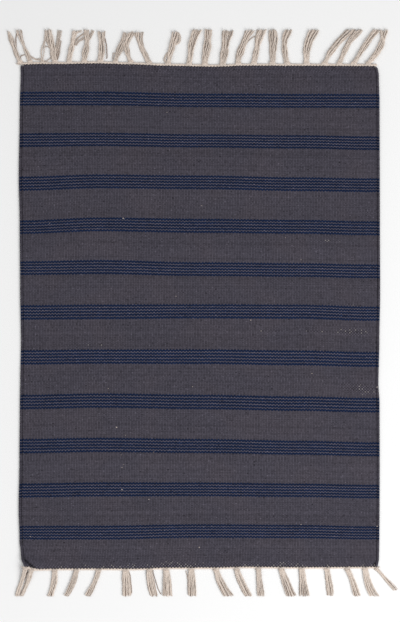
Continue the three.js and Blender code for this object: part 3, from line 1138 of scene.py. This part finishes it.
class FringeSizes(bpy.types.PropertyGroup):
    top_yarn: length("Top yarn", "Thickness of the top tassels' yarn", 2.1)
    bottom_yarn: length("Bottom yarn", "Thickness of the bottom tassels' yarn", 1.7)
    ply_turn: length("Ply turn", "Length in which the plies turn once", 9)
    yarn_steps: number("Yarn steps", "Rings along a tassel's yarn", 58)
    knot_out: length("Knot place", "From the cloth's end to the knot", 4.2)
    knot_width: length("Knot width", "Width of a full tassel's knot", 9)
    knot_steps: number("Knot steps", "Rings along a knot's turns", 44)
    stray_steps: number("Stray steps", "Rings along a stray yarn", 36)
    top_tangle: factor("Top tangle", "How wavy the top yarns are", 1.4)
    bottom_tangle: factor("Bottom tangle", "How wavy the bottom yarns are", 0.7)
    crossing: factor("Crossing", "Share of neighbouring yarns that cross", 0.4)
    parting: factor("Parting", "Share of lower yarns laid bare between others", 0.5)
    # Painted shade on the lower yarns, and how much of the painted shade the top fringe keeps.
    lower_hollow: factor("Lower yarns' shade", "How much darker lower yarns are", 0.2)
    top_shade: factor("Top shade", "Shade of the top hollows, 1 as at the bottom", 0.3)
    edge_yarn: length("Edge yarn", "Thickness of the twined yarns", 2.2)
    edge_twist: length("Edge twist", "How far each yarn swings out", 1)
    edge_turn: length("Edge turn", "Length in which the twined yarns turn once", 5.1)
    edge_steps: number("Edge steps", "Rings along a twined edge", 1440)


class RugColours(bpy.types.PropertyGroup):
    grey: tint("Grey yarn", 78, 75, 85)
    brown_grey: tint("Browner grey", 81, 76, 84)
    navy: tint("Navy yarn", 24, 38, 67)
    bare_warp: tint("Bare warp", 190, 184, 176)
    yarn: tint("Fringe yarn", 215, 202, 191)
    # Painted shade: colours blended into the fringe yarns in their ply grooves and where light hardly
    # reaches.
    yarn_groove: tint("Ply grooves", 176, 155, 140)
    yarn_hollow: tint("Yarn's hollows", 126, 102, 88)
    floor: tint("Floor", 246, 246, 246)


class RugSettings(bpy.types.PropertyGroup):
    cloth: PointerProperty(type=ClothSizes)
    fringe: PointerProperty(type=FringeSizes)
    colours: PointerProperty(type=RugColours)


class WeaveCloth(bpy.types.Operator):
    """Weave the rug's cloth between its selvedges"""

    bl_idname = "rug.weave_cloth"
    bl_label = "Weave Cloth"

    def execute(self, context):
        mesh = woven_field(context.scene.kilim_rug.cloth)
        piece = new_piece("rug_cloth_woven", mesh, weft_faced_cotton)
        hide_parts("rug_cloth")
        return {"FINISHED"}


class RollSelvedges(bpy.types.Operator):
    """Wrap the outer warps of both long sides"""

    bl_idname = "rug.roll_selvedges"
    bl_label = "Roll Selvedges"

    def execute(self, context):
        for side in (-1, 1):
            mesh = rolled_selvedge(side, context.scene.kilim_rug.cloth)
            new_piece("selvedge_" + SIDE_NAME[side], mesh, weft_faced_cotton)
        return {"FINISHED"}


class TwineEnds(bpy.types.Operator):
    """Twine a pair of yarns along both ends"""

    bl_idname = "rug.twine_ends"
    bl_label = "Twine Ends"

    def execute(self, context):
        rug = context.scene.kilim_rug
        for end in (1, -1):
            mesh = twined_edge(end, rug.cloth, rug.fringe)
            new_piece(mesh.name, mesh, plied_cotton)
        return {"FINISHED"}


class KnotTassels(bpy.types.Operator):
    """Knot the warp ends of both ends into tassels"""

    bl_idname = "rug.knot_tassels"
    bl_label = "Knot Tassels"

    def execute(self, context):
        rug = context.scene.kilim_rug
        for end, node in ((1, "fringe_top"), (-1, "fringe_bottom")):
            for first in range(0, len(TASSELS[end]), TASSELS_PER_PIECE):
                name = f"tassels_{END_NAME[end]}_{first // TASSELS_PER_PIECE + 1}"
                work = FringeWork(name, end, first + FRINGE_SEED + end, rug.cloth, rug.fringe)
                for tassel in TASSELS[end][first:first + TASSELS_PER_PIECE]:
                    work.lay_tassel(tassel)
                    work.tie_knot(tassel)
                for stray in STRAYS[end] if first == 0 else []:
                    work.lay_stray(stray)
                piece = new_piece(name, work.mesh(), plied_cotton)
                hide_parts(node)
        return {"FINISHED"}


class ScatterNeps(bpy.types.Operator):
    """Lay flecks of undyed cotton in the weave"""

    bl_idname = "rug.scatter_neps"
    bl_label = "Scatter Neps"

    def execute(self, context):
        mesh = nep_mesh(context.scene.kilim_rug.cloth)
        new_piece("cotton_neps", mesh, pale_fleck)
        return {"FINISHED"}


def soft_light(lamp, aim):
    """A square lamp that shines at a point, and that the camera doesn't see."""
    panel = bpy.data.lights.new(lamp.name, "AREA")
    panel.shape = "SQUARE"
    panel.size = lamp.side
    panel.energy = lamp.power
    light = new_thing(lamp.name, panel)
    light.location = lamp.place
    light.rotation_euler = (light.location - aim).to_track_quat("Z", "Y").to_euler()
    light.visible_camera = False


class SetStage(bpy.types.Operator):
    """Lay the pale floor, and set the soft light and the camera above the rug"""

    bl_idname = "rug.set_stage"
    bl_label = "Set Stage"

    def execute(self, context):
        scene = context.scene
        disc = bmesh.new()
        bmesh.ops.create_circle(disc, cap_ends=True, segments=FLOOR_SIDES, radius=FLOOR_RADIUS)
        floor = new_object("studio_floor", mesh_of(disc, "studio_floor"), studio_floor)
        floor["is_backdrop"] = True

        middle = rug_middle()
        target = Vector((middle[0] + VIEW_MIDDLE[0] * MM, middle[1] + VIEW_MIDDLE[1] * MM, 0))
        for lamp in LAMPS:
            soft_light(lamp, target)
        scene.world = bpy.data.worlds.new("studio")
        scene.world.use_nodes = True
        sky = scene.world.node_tree.nodes["Background"]
        sky.inputs["Color"].default_value = (1, 1, 1, 1)
        sky.inputs["Strength"].default_value = SKY_STRENGTH

        lens = bpy.data.cameras.new("camera")
        lens.sensor_width = SENSOR
        lens.lens = SENSOR * CAMERA_HEIGHT / (VIEW_HEIGHT * MM)
        lens.clip_end = CAMERA_REACH
        scene.camera = new_thing("camera", lens)
        scene.camera.location = (target.x, target.y, CAMERA_HEIGHT)
        scene.view_settings.view_transform = "Standard"
        return {"FINISHED"}


class RugPanel(bpy.types.Panel):
    bl_idname = "RUG_PT_make"
    bl_label = "Kilim Rug"
    bl_space_type = "VIEW_3D"
    bl_region_type = "UI"
    bl_category = "Rug"

    def draw(self, context):
        rug = context.scene.kilim_rug
        for group in (rug.cloth, rug.fringe, rug.colours):
            box = self.layout.box()
            for name in group.__annotations__:
                box.prop(group, name)
        for step in STEPS:
            self.layout.operator(step.bl_idname)


STEPS = (WeaveCloth, RollSelvedges, TwineEnds, KnotTassels, ScatterNeps, SetStage)
CLASSES = (ClothSizes, FringeSizes, RugColours, RugSettings, *STEPS, RugPanel)


def register():
    for kind in CLASSES:
        bpy.utils.register_class(kind)
    bpy.types.Scene.kilim_rug = PointerProperty(type=RugSettings)


def unregister():
    del bpy.types.Scene.kilim_rug
    for kind in reversed(CLASSES):
        bpy.utils.unregister_class(kind)


def main():
    register()
    bpy.ops.rug.weave_cloth()
    bpy.ops.rug.roll_selvedges()
    bpy.ops.rug.twine_ends()
    bpy.ops.rug.knot_tassels()
    bpy.ops.rug.scatter_neps()
    bpy.ops.rug.set_stage()


if __name__ == "__main__":
    main()
